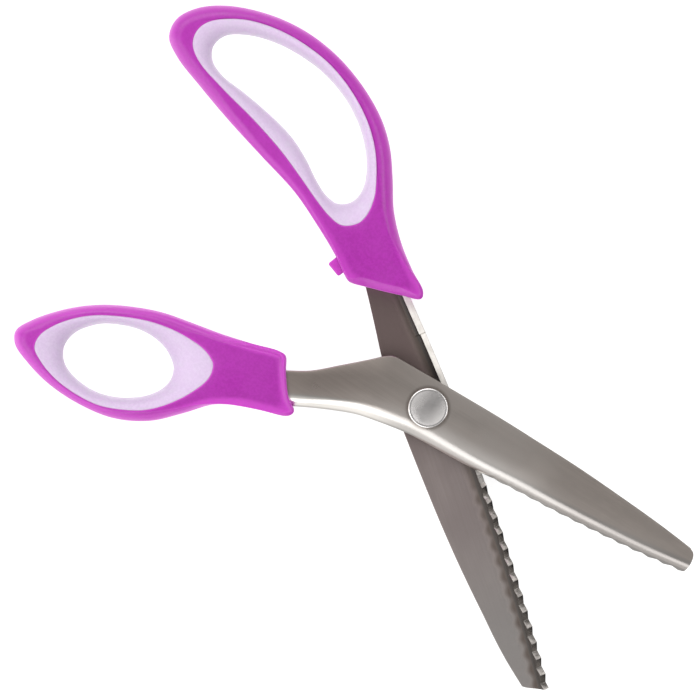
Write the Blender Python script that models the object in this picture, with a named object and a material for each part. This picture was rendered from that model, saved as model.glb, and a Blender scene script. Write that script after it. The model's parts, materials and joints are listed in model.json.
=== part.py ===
"""Pinking shears, open and lying flat: two formed steel blades with meshing zigzag lands, moulded grips with
soft loop liners, and an adjustable screw pivot.

The origin is on the pivot axis, level with the surface that the shears lie on. +Z is the pivot axis, and +X
runs between the open blades towards their tips. Each half is drawn in its own flat frame, in millimetres: x
from the pivot to the blade's tip, the cutting side at -y and the outer face up, with z = 0 on the plane where
the two blades meet. The back half is that drawing turned over about x.
"""

import math

import bmesh
import bpy
import numpy as np
from mathutils import Matrix, Vector

MM = 0.001

# Driving dimensions, in millimetres and degrees
OPEN_ANGLE = 39.2  # between the two blades as they lie
TOOTH_PITCH = 5.0
TOOTH_HEIGHT = 1.2  # of a tooth above and below the meeting plane
FIRST_TOOTH = 28.75  # distance from the pivot at which the zigzag starts
LAND_GAP = 0.15  # from each blade's land to the meeting plane
SHEET = 1.8  # thickness of the blade steel
BLADE_DEPTH = 4.3  # from the meeting plane to a blade's outer face
SPINE_CHAMFER = 0.35
RIM_STEP_X = -22.4  # behind here the shank's rim is left unground
RIM_STEP = 0.35  # and stands this much higher
GRIP_HALF = 6.6  # half the thickness of a grip
FIT = 0.3  # clearance between moulded plastic and what it holds
LINER_GAP = 0.25

# How the steel turns down along its cutting side: x, the bend's outside radius, and the degrees by which the
# wall below it leans out. The values run evenly from each row to the next.
FRONT_BENDS = [(-32.0, 2.8, 5.0), (-12.0, 5.2, 6.0), (24.0, 4.2, 6.5), (44.0, 3.7, 8.5), (90.0, 2.8, 13.0)]
BACK_BENDS = [(-32.0, 2.8, 5.0), (0.0, 3.4, 6.0), (24.0, 4.2, 7.5), (44.0, 3.8, 10.0), (90.0, 3.0, 14.5)]

# The blade steel's outlines. A rib joins a point on the cutting side to one on the spine.
FRONT_SHANK = [
    ((-56.0, -30.6), (-59.6, -22.0)),
    ((-46.5, -26.6), (-50.6, -17.4)),
    ((-37.6, -22.4), (-43.2, -13.0)),
    ((-30.5, -18.8), (-37.0, -9.2)),
    ((-24.0, -15.8), (-30.0, -2.9)),
    ((-17.6, -13.3), (-23.4, 3.2)),
    ((-13.4, -12.3), (-19.1, 7.3)),
    ((-11.0, -11.8), (-17.2, 8.2)),
    ((-7.0, -11.0), (-13.6, 8.4)),
    ((-1.5, -10.1), (-4.5, 8.65)),
    ((5.0, -9.6), (5.0, 8.9)),
]
FRONT_EDGE = [(5.0, -9.6), (20.0, -8.85), (35.0, -7.5), (50.0, -6.5), (65.0, -5.2), (80.0, -3.6), (98.0, -1.0)]
FRONT_SPINE = [(5.0, 8.9), (20.0, 9.15), (35.0, 9.05), (50.0, 8.8), (65.0, 8.05), (80.0, 7.05), (98.0, 5.2)]
FRONT_TIP = [
    (90.8, 6.8),
    (92.0, 5.75),
    (93.1, 5.15),
    (93.8, 4.3),
    (94.2, 3.1),
    (94.4, 1.2),
    (94.25, -0.4),
    (93.9, -1.9),
    (93.2, -4.0),
    (99.0, -4.0),
    (99.0, 6.8),
]

BACK_SHANK = [
    ((-57.5, -3.6), (-57.5, 5.2)),
    ((-48.0, -4.8), (-48.0, 5.5)),
    ((-40.0, -5.6), (-40.0, 6.1)),
    ((-30.0, -6.4), (-29.5, 7.2)),
    ((-20.0, -7.2), (-19.0, 8.4)),
    ((-10.0, -7.9), (-8.5, 9.1)),
    ((0.0, -8.5), (1.0, 9.45)),
    ((5.0, -8.75), (5.0, 9.5)),
]
BACK_EDGE = [(5.0, -8.75), (20.0, -9.15), (35.0, -9.25), (50.0, -9.15), (65.0, -8.7), (80.0, -7.95), (98.0, -6.7)]
BACK_SPINE = [(5.0, 9.5), (20.0, 8.85), (35.0, 8.0), (50.0, 6.75), (65.0, 5.0), (80.0, 3.05), (98.0, -0.9)]
BACK_TIP = [
    (89.6, 2.4),
    (90.7, 1.1),
    (91.4, 0.5),
    (92.1, -0.5),
    (93.2, -2.8),
    (94.4, -5.6),
    (94.25, -6.7),
    (93.6, -9.0),
    (99.0, -9.0),
    (99.0, 2.4),
]

FRONT_TANG_HOLES = [(-52.6, -23.4), (-45.2, -19.6)]
BACK_TANG_HOLES = [(-53.6, 2.0), (-46.4, 2.2)]
TANG_HOLE_RADIUS = 2.0

# The grips. A spoke runs from the outline, past the edge of the liner, to the edge of the finger hole.
THUMB_SPOKES = [
    ((-103.3, -26.2), (-102.2, -29.4), (-99.4, -30.7)),
    ((-94.6, -21.5), (-95.0, -25.5), (-94.2, -28.0)),
    ((-85.5, -18.0), (-87.2, -22.4), (-88.8, -26.3)),
    ((-75.9, -15.9), (-79.6, -20.8), (-83.8, -26.0)),
    ((-66.3, -14.0), (-73.0, -20.5), (-79.5, -26.8)),
    ((-56.8, -11.6), (-68.2, -21.0), (-76.3, -28.4)),
    ((-48.6, -9.2), (-65.0, -22.3), (-74.1, -30.2)),
    ((-46.0, -9.4), (-63.7, -23.3), (-73.3, -31.4)),
    ((-43.5, -13.2), (-62.8, -25.2), (-72.7, -33.0)),
    ((-38.6, -19.6), (-62.5, -27.4), (-72.5, -34.8)),
    ((-34.7, -22.8), (-62.9, -29.8), (-72.8, -36.8)),
    ((-35.5, -24.8), (-63.6, -31.8), (-73.4, -38.6)),
    ((-43.5, -27.7), (-65.1, -35.0), (-74.8, -40.8)),
    ((-51.0, -30.4), (-67.2, -38.6), (-76.8, -43.1)),
    ((-57.2, -34.1), (-70.1, -42.5), (-79.4, -45.2)),
    ((-63.6, -41.2), (-74.0, -46.4), (-82.8, -47.3)),
    ((-71.2, -48.7), (-79.8, -49.9), (-87.0, -49.0)),
    ((-81.2, -53.9), (-87.0, -52.7), (-91.8, -49.9)),
    ((-92.5, -55.8), (-94.6, -53.5), (-96.4, -49.7)),
    ((-104.0, -55.4), (-102.8, -52.8), (-100.8, -48.6)),
    ((-113.0, -53.2), (-109.6, -50.5), (-104.0, -46.5)),
    ((-119.3, -50.4), (-113.3, -47.9), (-105.8, -43.4)),
    ((-121.3, -46.7), (-113.9, -44.0), (-106.0, -40.4)),
    ((-118.6, -41.1), (-111.7, -39.0), (-105.0, -37.0)),
    ((-111.2, -32.5), (-107.4, -33.7), (-102.7, -33.8)),
]
FINGER_SPOKES = [
    ((-140.5, 27.0), (-134.9, 24.8), (-129.5, 21.6)),
    ((-138.0, 17.6), (-132.2, 14.9), (-127.5, 15.0)),
    ((-131.3, 6.5), (-126.4, 6.4), (-122.6, 7.8)),
    ((-123.0, -2.2), (-118.6, -0.8), (-116.2, 1.7)),
    ((-112.9, -8.9), (-109.6, -6.4), (-108.5, -3.5)),
    ((-101.5, -13.4), (-99.4, -9.9), (-99.0, -7.2)),
    ((-89.7, -15.7), (-89.0, -11.3), (-89.5, -8.5)),
    ((-80.0, -15.3), (-80.5, -10.6), (-81.5, -7.8)),
    ((-70.5, -12.9), (-73.0, -8.4), (-75.5, -6.0)),
    ((-61.4, -10.1), (-67.2, -5.8), (-71.8, -4.0)),
    ((-51.9, -9.0), (-63.9, -3.2), (-69.7, -2.0)),
    ((-42.0, -9.4), (-62.0, -0.9), (-68.6, -0.3)),
    ((-34.5, -10.4), (-61.3, 0.5), (-68.2, 0.9)),
    ((-32.6, -9.1), (-61.0, 1.7), (-68.0, 2.0)),
    ((-35.8, -3.4), (-61.0, 3.3), (-68.1, 3.3)),
    ((-41.7, 5.8), (-61.4, 5.3), (-68.6, 4.9)),
    ((-44.4, 9.7), (-62.2, 6.9), (-69.4, 6.2)),
    ((-45.6, 10.55), (-63.4, 8.0), (-70.5, 7.1)),
    ((-54.5, 11.7), (-66.6, 9.7), (-73.3, 8.5)),
    ((-65.3, 14.0), (-72.4, 11.7), (-78.2, 9.6)),
    ((-77.0, 17.2), (-80.2, 13.9), (-85.5, 10.5)),
    ((-90.0, 22.9), (-90.4, 17.1), (-93.4, 12.5)),
    ((-103.5, 28.8), (-102.2, 22.0), (-101.9, 16.5)),
    ((-117.0, 34.0), (-114.0, 27.7), (-110.8, 21.7)),
    ((-128.5, 37.9), (-124.3, 31.8), (-118.3, 26.5)),
    ((-135.0, 38.2), (-130.0, 31.9), (-123.4, 27.8)),
    ((-139.4, 34.2), (-133.5, 29.3), (-127.6, 26.2)),
]
GRIP_SPAN_STEPS = 2
THUMB_MOUTH = range(7, 12)  # the spokes that end on the collar's open end
FINGER_MOUTH = range(12, 18)
MOUTH_ROUND = 2.0  # edge rounding at a collar's open end
NECK_ROUND = 3.6  # and along the sides of its neck

# The pivot, as radii and as heights from the meeting plane
SCREW_RADIUS = 2.5
BUSH_BORE = 2.65
BUSH_RADIUS = 3.5
WEB_HOLE = 3.65
HEAD_RADIUS = 6.15
STACK_GAP = 0.1
HEAD_WASHER = 0.4
HEAD_HEIGHT = 1.9
HEAD_DOME = 0.7
SPACER_RADIUS = 5.6
THRUST_RADIUS = 5.0
THRUST_WASHER = 0.5
WAVE_RADIUS = 4.9
WAVE_WASHER = 0.3
WAVE_LIFT = 0.1
WAVES = 3
NUT_FLATS = 10.0
NUT_CHAMFER = 0.35
NUT_SET_BACK = 0.2  # of the nut behind the end of the screw
ROUND_STEPS = 36

# The closing stop, a soft block plugged into the finger grip
STOP_FACE = ((-52.3, 14.6), (-47.6, 12.9))
STOP_ROOT = ((-54.2, 9.4), (-49.2, 7.9))
STOP_HALF_HEIGHT = 2.6
STOP_ROUND = 0.5
STOP_SHIFT = -2.6  # it sits below the tang


def clear_scene():
    for obj in list(bpy.data.objects):
        bpy.data.objects.remove(obj, do_unlink=True)


def make_material(name, colour, roughness, metallic=0.0):
    material = bpy.data.materials.new(name)
    material.use_nodes = True
    shader = material.node_tree.nodes["Principled BSDF"]
    shader.inputs["Base Color"].default_value = (*colour, 1.0)
    shader.inputs["Roughness"].default_value = roughness
    shader.inputs["Metallic"].default_value = metallic
    return material


def curve_points(controls, steps, closed=False):
    """Points along a centripetal Catmull-Rom curve through the controls, with `steps` to each span."""
    points = [Vector(c) for c in controls]
    count = len(points)
    if closed:
        around = [points[-1], *points, points[0], points[1]]
        spans = count
    else:
        around = [2 * points[0] - points[1], *points, 2 * points[-1] - points[-2]]
        spans = count - 1
    found = []
    for i in range(spans):
        p0, p1, p2, p3 = around[i : i + 4]
        t0 = 0.0
        t1 = t0 + math.sqrt((p1 - p0).length)
        t2 = t1 + math.sqrt((p2 - p1).length)
        t3 = t2 + math.sqrt((p3 - p2).length)
        for step in range(steps):
            t = t1 + (t2 - t1) * step / steps
            a1 = p0.lerp(p1, (t - t0) / (t1 - t0))
            a2 = p1.lerp(p2, (t - t1) / (t2 - t1))
            a3 = p2.lerp(p3, (t - t2) / (t3 - t2))
            b1 = a1.lerp(a2, (t - t0) / (t2 - t0))
            b2 = a2.lerp(a3, (t - t1) / (t3 - t1))
            found.append(b1.lerp(b2, (t - t1) / (t2 - t1)))
    if not closed:
        found.append(points[-1].copy())
    return found


def add_object(name, bm, material, half=None):
    """Adds the mesh, drawn in millimetres, to the scene as an object of the given half."""
    bmesh.ops.recalc_face_normals(bm, faces=bm.faces)
    bmesh.ops.scale(bm, vec=(MM, MM, MM), verts=bm.verts)
    mesh = bpy.data.meshes.new(name)
    bm.to_mesh(mesh)
    bm.free()
    mesh.shade_smooth()
    mesh.set_sharp_from_angle(angle=math.radians(35))
    obj = bpy.data.objects.new(name, mesh)
    bpy.context.scene.collection.objects.link(obj)
    obj.parent = half
    if material:
        mesh.materials.append(material)
    else:
        obj.hide_render = True
        obj.display_type = "WIRE"
    return obj


def skin(rings, closed):
    """A closed surface over rings of equal count: joined end to end, or with a cap on each end."""
    bm = bmesh.new()
    loops = [[bm.verts.new(p) for p in ring] for ring in rings]
    pairs = list(zip(loops, loops[1:]))
    if closed:
        pairs.append((loops[-1], loops[0]))
    for a, b in pairs:
        for i in range(len(a)):
            j = (i + 1) % len(a)
            bm.faces.new((a[i], a[j], b[j], b[i]))
    if not closed:
        bm.faces.new(loops[0])
        bm.faces.new(list(reversed(loops[-1])))
    return bm


def turned(profile, steps=ROUND_STEPS):
    """A ring or disc: the profile of (radius, z) points turned about Z. A point of radius 0 closes it."""
    bm = bmesh.new()
    columns = []
    for radius, z in profile:
        if radius == 0:
            columns.append([bm.verts.new((0, 0, z))])
            continue
        angles = [2 * math.pi * k / steps for k in range(steps)]
        columns.append([bm.verts.new((radius * math.cos(a), radius * math.sin(a), z)) for a in angles])
    hollow = len(columns[0]) > 1
    pairs = list(zip(columns, columns[1:]))
    if hollow:
        pairs.append((columns[-1], columns[0]))
    for a, b in pairs:
        for k in range(steps):
            corners = [a[k % len(a)], a[(k + 1) % len(a)], b[(k + 1) % len(b)], b[k % len(b)]]
            bm.faces.new(list(dict.fromkeys(corners)))
    return bm


def peg(name, centre, radius, low, high, material=None, half=None, steps=24):
    """An upright cylinder, drawn in millimetres."""
    bm = turned([(0, low), (radius, low), (radius, high), (0, high)], steps)
    bmesh.ops.translate(bm, vec=(centre[0], centre[1], 0), verts=bm.verts)
    return add_object(name, bm, material, half)


def combine(target, operation, tool):
    modifier = target.modifiers.new(f"{operation.lower()} {tool.name}", "BOOLEAN")
    modifier.object = tool
    modifier.operation = operation
    modifier.solver = "EXACT"


# Blades


def zigzag(radius):
    """Height of the surface between the blades, the same all round the pivot, so that the teeth stay in mesh."""
    if radius < FIRST_TOOTH:
        return 0.0
    phase = radius / TOOTH_PITCH % 1.0
    return TOOTH_HEIGHT * (4 * abs(phase - 0.5) - 1)


def bend_at(bends, x):
    """The bend's outside radius and the wall's lean, as an angle, at this distance along the steel."""
    places, radii, leans = zip(*bends)
    return float(np.interp(x, places, radii)), math.radians(float(np.interp(x, places, leans)))


def bend_points(centre, radius, lean, end, offset, steps):
    """One side of the bend and wall as (distance from the cutting side, z), from the web down to `end`.

    Below the bend the side is a line that leans out and meets the meeting plane at `offset`.
    """
    tangent = math.pi - lean
    lowest = centre[1] + radius * math.sin(tangent)
    if end + 0.1 > lowest:
        tangent = math.pi - math.asin((end + 0.1 - centre[1]) / radius)
    points = []
    for step in range(steps + 1):
        angle = math.pi / 2 + (tangent - math.pi / 2) * step / steps
        points.append((centre[0] + radius * math.cos(angle), centre[1] + radius * math.sin(angle)))
    if end > lowest:
        points.append((centre[0] - math.sqrt(radius**2 - (end - centre[1]) ** 2), end))
    else:
        points.append((offset + end * math.tan(lean), end))
    return points


def blade_section(width, land, bend, lean, grow=0.0):
    """The sheet's section as (distance from the cutting side, z): web, bend, and a wall that ends on the land.

    `grow` thickens it all round, for the pocket that holds it.
    """
    centre_z = BLADE_DEPTH - bend
    centre = ((bend + centre_z * math.sin(lean)) / math.cos(lean), centre_z)
    top, under = BLADE_DEPTH + grow, BLADE_DEPTH - SHEET - grow
    spine = width + grow
    inside = bend_points(centre, bend - SHEET - grow, lean, land - grow, (SHEET + grow) / math.cos(lean), 2)
    outside = bend_points(centre, bend + grow, lean, land - grow, -grow / math.cos(lean), 5)
    rim = [(spine - SPINE_CHAMFER, top), (spine, top - SPINE_CHAMFER), (spine, under)]
    return rim + inside + list(reversed(outside))


def reach(origin, direction, outline):
    """Distance from the origin, along the direction, to where the outline is crossed."""
    for a, b in zip(outline, outline[1:]):
        along = b - a
        cross = direction.cross(along)
        if abs(cross) < 1e-9:
            continue
        distance = (a - origin).cross(along) / cross
        share = (a - origin).cross(direction) / cross
        if distance > 0 and -1e-6 <= share <= 1 + 1e-6:
            return distance
    return (outline[-1] - origin).length


def at_radius(outline, radius):
    """The point of the outline at this distance from the pivot."""
    for a, b in zip(outline, outline[1:]):
        if a.length <= radius <= b.length:
            return a.lerp(b, (radius - a.length) / (b.length - a.length))
    return outline[-1].copy()


def toothed_ribs(edge_controls, spine_controls):
    """Ribs from the pivot's end of the blade to its tip. Where there are teeth, each rib is square to the line
    from the pivot, so that it runs along a ridge or a valley."""
    edge = curve_points(edge_controls, 12)
    spine = curve_points(spine_controls, 12)
    radii = [14.0, 18.0, 22.0, 25.5, FIRST_TOOTH]
    last = edge[-1].length
    k = math.ceil(FIRST_TOOTH / (TOOTH_PITCH / 2))
    while k * TOOTH_PITCH / 2 < last - 0.6:
        radii.append(k * TOOTH_PITCH / 2)
        k += 1
    ribs = []
    for radius in radii:
        start = at_radius(edge, radius)
        square = Vector((-start.y, start.x)).normalized()
        turn = min(1.0, (radius - 9.0) / (FIRST_TOOTH - 9.0))
        direction = Vector((0, 1)).lerp(square, turn).normalized()
        ribs.append((start, start + direction * reach(start, direction, spine)))
    ribs.append((edge[-1], spine[-1]))
    return ribs


def shank_ribs(pairs, steps):
    edge = curve_points([p[0] for p in pairs], steps)
    spine = curve_points([p[1] for p in pairs], steps)
    return list(zip(edge, spine))


def rib_ring(start, end, land, bends, grow=0.0):
    """The blade's section set up along one rib."""
    across = (end - start).normalized()
    section = blade_section((end - start).length, land, *bend_at(bends, start.x), grow)
    return [(*(start + across * w), z) for w, z in section]


def land_height(rib, teeth):
    start = rib[0]
    if start.x < RIM_STEP_X:
        return LAND_GAP - RIM_STEP
    if start.x < 0:
        return LAND_GAP
    return LAND_GAP + teeth * zigzag(start.length)


def with_rim_step(ribs):
    """Adds the two close ribs between which the shank's rim steps up to its unground height."""
    found = []
    for a, b in zip(ribs, ribs[1:]):
        found.append(a)
        if a[0].x < RIM_STEP_X <= b[0].x:
            for x in (RIM_STEP_X - 0.3, RIM_STEP_X + 0.3):
                share = (x - a[0].x) / (b[0].x - a[0].x)
                if 0 < share < 1:
                    found.append((a[0].lerp(b[0], share), a[1].lerp(b[1], share)))
    found.append(ribs[-1])
    return found


def make_blade(name, half, steel, shank, edge, spine, tip, bends, teeth, tang_holes):
    """A formed blade with its shank and tang, drawn too long and trimmed to the outline of its tip.

    `teeth` is +1 or -1, so that the two blades' zigzags mesh.
    """
    ribs = with_rim_step(shank_ribs(shank, 2)) + toothed_ribs(edge, spine)
    rings = [rib_ring(a, b, land_height((a, b), teeth), bends) for a, b in ribs]
    blade = add_object(name, skin(rings, closed=False), steel, half)
    low, high = -TOOTH_HEIGHT - 1, BLADE_DEPTH + 1
    waste = [[(x, y, z) for x, y in tip] for z in (low, high)]
    combine(blade, "DIFFERENCE", add_object(f"{name}_trim", skin(waste, closed=False), None, half))
    bore = peg(f"{name}_bore", (0, 0), WEB_HOLE, low, high, half=half, steps=ROUND_STEPS)
    combine(blade, "DIFFERENCE", bore)
    for n, centre in enumerate(tang_holes):
        hole = peg(f"{name}_tang_hole_{n}", centre, TANG_HOLE_RADIUS, low, high, half=half)
        combine(blade, "DIFFERENCE", hole)
    return blade


# Grips


def spoke_lines(spokes):
    """The outline, the liner's edge and the hole's edge, each with a point for every spoke and between."""
    return [curve_points([s[n] for s in spokes], GRIP_SPAN_STEPS, closed=True) for n in range(3)]


def edge_rounding(index, count, mouth, outline, liner_edge):
    """How far the rounding of the outer edge runs in from the outline at a spoke, along that spoke."""
    spoke = liner_edge[index] - outline[index]
    tangent = (outline[(index + 1) % count] - outline[index - 1]).normalized()
    square = max(0.35, abs(spoke.normalized().cross(tangent)))
    at_mouth = index / GRIP_SPAN_STEPS in mouth or (index / GRIP_SPAN_STEPS - 0.5) in mouth
    wanted = MOUTH_ROUND if at_mouth else NECK_ROUND
    return min(wanted / square, spoke.length - LINER_GAP - 0.2)


def round_profile(width, height, steps):
    """Quarter ellipse as (distance in, z), from the outline at mid height to the flat top."""
    angles = [math.pi / 2 * k / steps for k in range(steps + 1)]
    return [(width * (1 - math.cos(a)), height * math.sin(a)) for a in angles]


def place_on(start, towards, distance, z):
    point = start + (towards - start).normalized() * distance
    return (point.x, point.y, z)


def grip_rings(spokes, mouth):
    """Rings of the hard grip, one for each spoke: rounded outside, upright where the liner fits."""
    outline, liner_edge, _ = spoke_lines(spokes)
    count = len(outline)
    rings = []
    for i in range(count):
        start, towards = outline[i], liner_edge[i]
        width = edge_rounding(i, count, mouth, outline, liner_edge)
        upper = round_profile(width, GRIP_HALF, 4)
        inner = (towards - start).length - LINER_GAP / 2
        ring = [place_on(start, towards, d, z) for d, z in upper]
        ring.append(place_on(start, towards, inner, GRIP_HALF))
        ring.append(place_on(start, towards, inner, -GRIP_HALF))
        ring.extend(place_on(start, towards, d, -z) for d, z in reversed(upper[1:]))
        rings.append(ring)
    return rings


def liner_rings(spokes):
    """Rings of the soft liner: upright against the grip, and rolled over into the finger hole."""
    _, liner_edge, hole_edge = spoke_lines(spokes)
    rings = []
    for edge, hole in zip(liner_edge, hole_edge):
        width = (edge - hole).length - LINER_GAP / 2
        upper = round_profile(width, GRIP_HALF - 0.1, 5)
        ring = [place_on(hole, edge, d, z) for d, z in upper]
        ring.extend(place_on(hole, edge, d, -z) for d, z in reversed(upper[1:]))
        rings.append(ring)
    return rings


def make_grip(name, half, plastic, spokes, mouth, shank, bends, tang_holes):
    """A hard grip moulded round the tang, with a plug of plastic through each of the tang's holes."""
    grip = add_object(name, skin(grip_rings(spokes, mouth), closed=True), plastic, half)
    ribs = [rib for rib in shank_ribs(shank, 2) if rib[0].x < -28]
    first = ribs[0]
    along = (first[0] - ribs[1][0]).normalized() * FIT
    ribs[0] = (first[0] + along, first[1] + along)
    land = LAND_GAP - RIM_STEP
    rings = [rib_ring(a, b, land, bends, grow=FIT) for a, b in ribs]
    pocket = add_object(f"{name}_pocket", skin(rings, closed=False), None, half)
    combine(grip, "DIFFERENCE", pocket)
    web = BLADE_DEPTH - SHEET
    for n, centre in enumerate(tang_holes):
        plug = peg(f"{name}_plug_{n}", centre, TANG_HOLE_RADIUS - FIT, web - 1.5, BLADE_DEPTH + 1.5, half=half)
        combine(grip, "UNION", plug)
    return grip


def stop_block(name, half, material, grow=0.0):
    """The closing stop: a round-edged block whose face meets the thumb grip squarely when the shears close."""
    face = [Vector(p) for p in STOP_FACE]
    root = [Vector(p) for p in STOP_ROOT]
    along = (face[1] - face[0]).normalized()
    inward = (root[0] - face[0]).normalized()
    corners = [
        face[0] - along * grow,
        face[1] + along * grow,
        root[1] + (along + inward) * grow,
        root[0] + (inward - along) * grow,
    ]
    low, high = STOP_SHIFT - STOP_HALF_HEIGHT - grow, STOP_SHIFT + STOP_HALF_HEIGHT + grow
    rings = [[(c.x, c.y, z) for c in corners] for z in (low, high)]
    block = add_object(name, skin(rings, closed=False), material, half)
    if material:
        rounding = block.modifiers.new("rounded edges", "BEVEL")
        rounding.width = STOP_ROUND * MM
        rounding.segments = 2
    return block


# Pivot


def washer(name, half, material, bore, radius, low, thickness):
    bm = turned([(bore, low), (radius, low), (radius, low + thickness), (bore, low + thickness)])
    return add_object(name, bm, material, half)


def make_screw(half, steel):
    """The pivot screw: a broad, slightly domed head with a turned rim, over a plain shank."""
    base = BLADE_DEPTH + 2 * STACK_GAP + HEAD_WASHER
    rim = base + HEAD_HEIGHT - HEAD_DOME
    profile = [(0, -GRIP_HALF), (SCREW_RADIUS - 0.3, -GRIP_HALF), (SCREW_RADIUS, -GRIP_HALF + 0.3)]
    profile += [(SCREW_RADIUS, base), (HEAD_RADIUS - 0.2, base), (HEAD_RADIUS, base + 0.2), (HEAD_RADIUS, rim - 0.35)]
    dome_steps = 5
    edge_radius = HEAD_RADIUS - 0.4
    for k in range(dome_steps):
        radius = edge_radius * (1 - k / dome_steps)
        profile.append((radius, rim + HEAD_DOME * (1 - (radius / edge_radius) ** 2)))
    profile.append((0, rim + HEAD_DOME))
    return add_object("pivot_screw", turned(profile), steel, half)


def make_nut(half, steel):
    """A chamfered hexagon nut round the screw."""
    low = -GRIP_HALF + NUT_SET_BACK
    high = -(BLADE_DEPTH + 2 * STACK_GAP + WAVE_WASHER + 2 * WAVE_LIFT)
    corner = NUT_FLATS / 2 / math.cos(math.pi / 6)
    rings = []
    for radius, inset, z in (
        (corner, NUT_CHAMFER, low),
        (corner, 0, low + NUT_CHAMFER),
        (corner, 0, high - NUT_CHAMFER),
        (corner, NUT_CHAMFER, high),
    ):
        rings.append([(radius - inset, math.pi / 3 * k, z) for k in range(6)])
    points = [[(r * math.cos(a), r * math.sin(a), z) for r, a, z in ring] for ring in rings]
    nut = add_object("pivot_nut", skin(points, closed=False), steel, half)
    thread = peg("pivot_nut_thread", (0, 0), BUSH_BORE, low - 1, high + 1, half=half, steps=ROUND_STEPS)
    combine(nut, "DIFFERENCE", thread)
    return nut


def make_wave_washer(half, steel):
    """A spring washer whose ring rises and falls three times round, to load the nut."""
    middle = -(BLADE_DEPTH + STACK_GAP + WAVE_LIFT + WAVE_WASHER / 2)
    rings = []
    for k in range(ROUND_STEPS):
        angle = 2 * math.pi * k / ROUND_STEPS
        lift = WAVE_LIFT * math.cos(WAVES * angle)
        ring = []
        for radius, z in ((BUSH_BORE, -1), (WAVE_RADIUS, -1), (WAVE_RADIUS, 1), (BUSH_BORE, 1)):
            height = middle + lift + z * WAVE_WASHER / 2
            ring.append((radius * math.cos(angle), radius * math.sin(angle), height))
        rings.append(ring)
    return add_object("wave_spring_washer", skin(rings, closed=True), steel, half)


def make_pivot(half, steel, bronze, nylon):
    """The screw through both blades, what spaces them on it, and what holds it."""
    under = BLADE_DEPTH - SHEET
    make_screw(half, steel)
    washer("head_washer", half, nylon, BUSH_BORE, THRUST_RADIUS, BLADE_DEPTH + STACK_GAP, HEAD_WASHER)
    washer("pivot_bush", half, bronze, BUSH_BORE, BUSH_RADIUS, -BLADE_DEPTH, 2 * BLADE_DEPTH)
    thrust = under - STACK_GAP - THRUST_WASHER
    washer("front_thrust_washer", half, nylon, WEB_HOLE, THRUST_RADIUS, thrust, THRUST_WASHER)
    washer("back_thrust_washer", half, nylon, WEB_HOLE, THRUST_RADIUS, -thrust - THRUST_WASHER, THRUST_WASHER)
    reach_up = thrust - STACK_GAP
    washer("blade_spacer", half, steel, WEB_HOLE, SPACER_RADIUS, -reach_up, 2 * reach_up)
    make_wave_washer(half, steel)
    make_nut(half, steel)


def make_half(name, turn, over):
    """The empty that carries one half of the shears: turned about the pivot, and turned over for the back."""
    empty = bpy.data.objects.new(name, None)
    bpy.context.scene.collection.objects.link(empty)
    flip = Matrix.Rotation(math.pi if over else 0.0, 4, "X")
    spin = Matrix.Rotation(math.radians(turn), 4, "Z")
    empty.matrix_world = Matrix.Translation((0, 0, GRIP_HALF * MM)) @ spin @ flip
    return empty


def main():
    clear_scene()
    steel = make_material("brushed_steel", (0.42, 0.40, 0.38), 0.34, 1.0)
    pivot_steel = make_material("pivot_steel", (0.55, 0.54, 0.52), 0.3, 1.0)
    purple = make_material("purple_plastic", (0.46, 0.035, 0.45), 0.45)
    lilac = make_material("lilac_rubber", (0.66, 0.52, 0.74), 0.6)
    bronze = make_material("bronze", (0.55, 0.33, 0.13), 0.35, 1.0)
    nylon = make_material("nylon", (0.8, 0.79, 0.74), 0.5)

    front = make_half("front_half", OPEN_ANGLE / 2, over=False)
    back = make_half("back_half", -OPEN_ANGLE / 2, over=True)
    level = make_half("pivot", 0.0, over=False)

    front_steel = (FRONT_SHANK, FRONT_EDGE, FRONT_SPINE, FRONT_TIP, FRONT_BENDS)
    back_steel = (BACK_SHANK, BACK_EDGE, BACK_SPINE, BACK_TIP, BACK_BENDS)
    make_blade("front_blade", front, steel, *front_steel, 1, FRONT_TANG_HOLES)
    make_blade("back_blade", back, steel, *back_steel, -1, BACK_TANG_HOLES)

    front_tang = (FRONT_SHANK, FRONT_BENDS, FRONT_TANG_HOLES)
    back_tang = (BACK_SHANK, BACK_BENDS, BACK_TANG_HOLES)
    make_grip("thumb_grip", front, purple, THUMB_SPOKES, THUMB_MOUTH, *front_tang)
    add_object("thumb_liner", skin(liner_rings(THUMB_SPOKES), closed=True), lilac, front)
    finger_grip = make_grip("finger_grip", back, purple, FINGER_SPOKES, FINGER_MOUTH, *back_tang)
    add_object("finger_liner", skin(liner_rings(FINGER_SPOKES), closed=True), lilac, back)

    stop_block("closing_stop", back, purple)
    combine(finger_grip, "DIFFERENCE", stop_block("finger_grip_stop_socket", back, None, grow=FIT))

    make_pivot(level, pivot_steel, bronze, nylon)


main()
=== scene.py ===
"""The finished look of the pinking shears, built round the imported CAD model.

Each half of the shears is drawn flat, in millimetres, as its CAD is: x from the pivot to the blade's tip,
the cutting side at -y and the outer face up, with z = 0 where the two blades meet. The mesh is then moved
to where the half lies, and each point keeps its drawn place in "drawn", so that materials run along and
across the blade.
"""

import json
import math

import bmesh
import bpy
import numpy as np
from mathutils import Matrix, Vector


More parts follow.
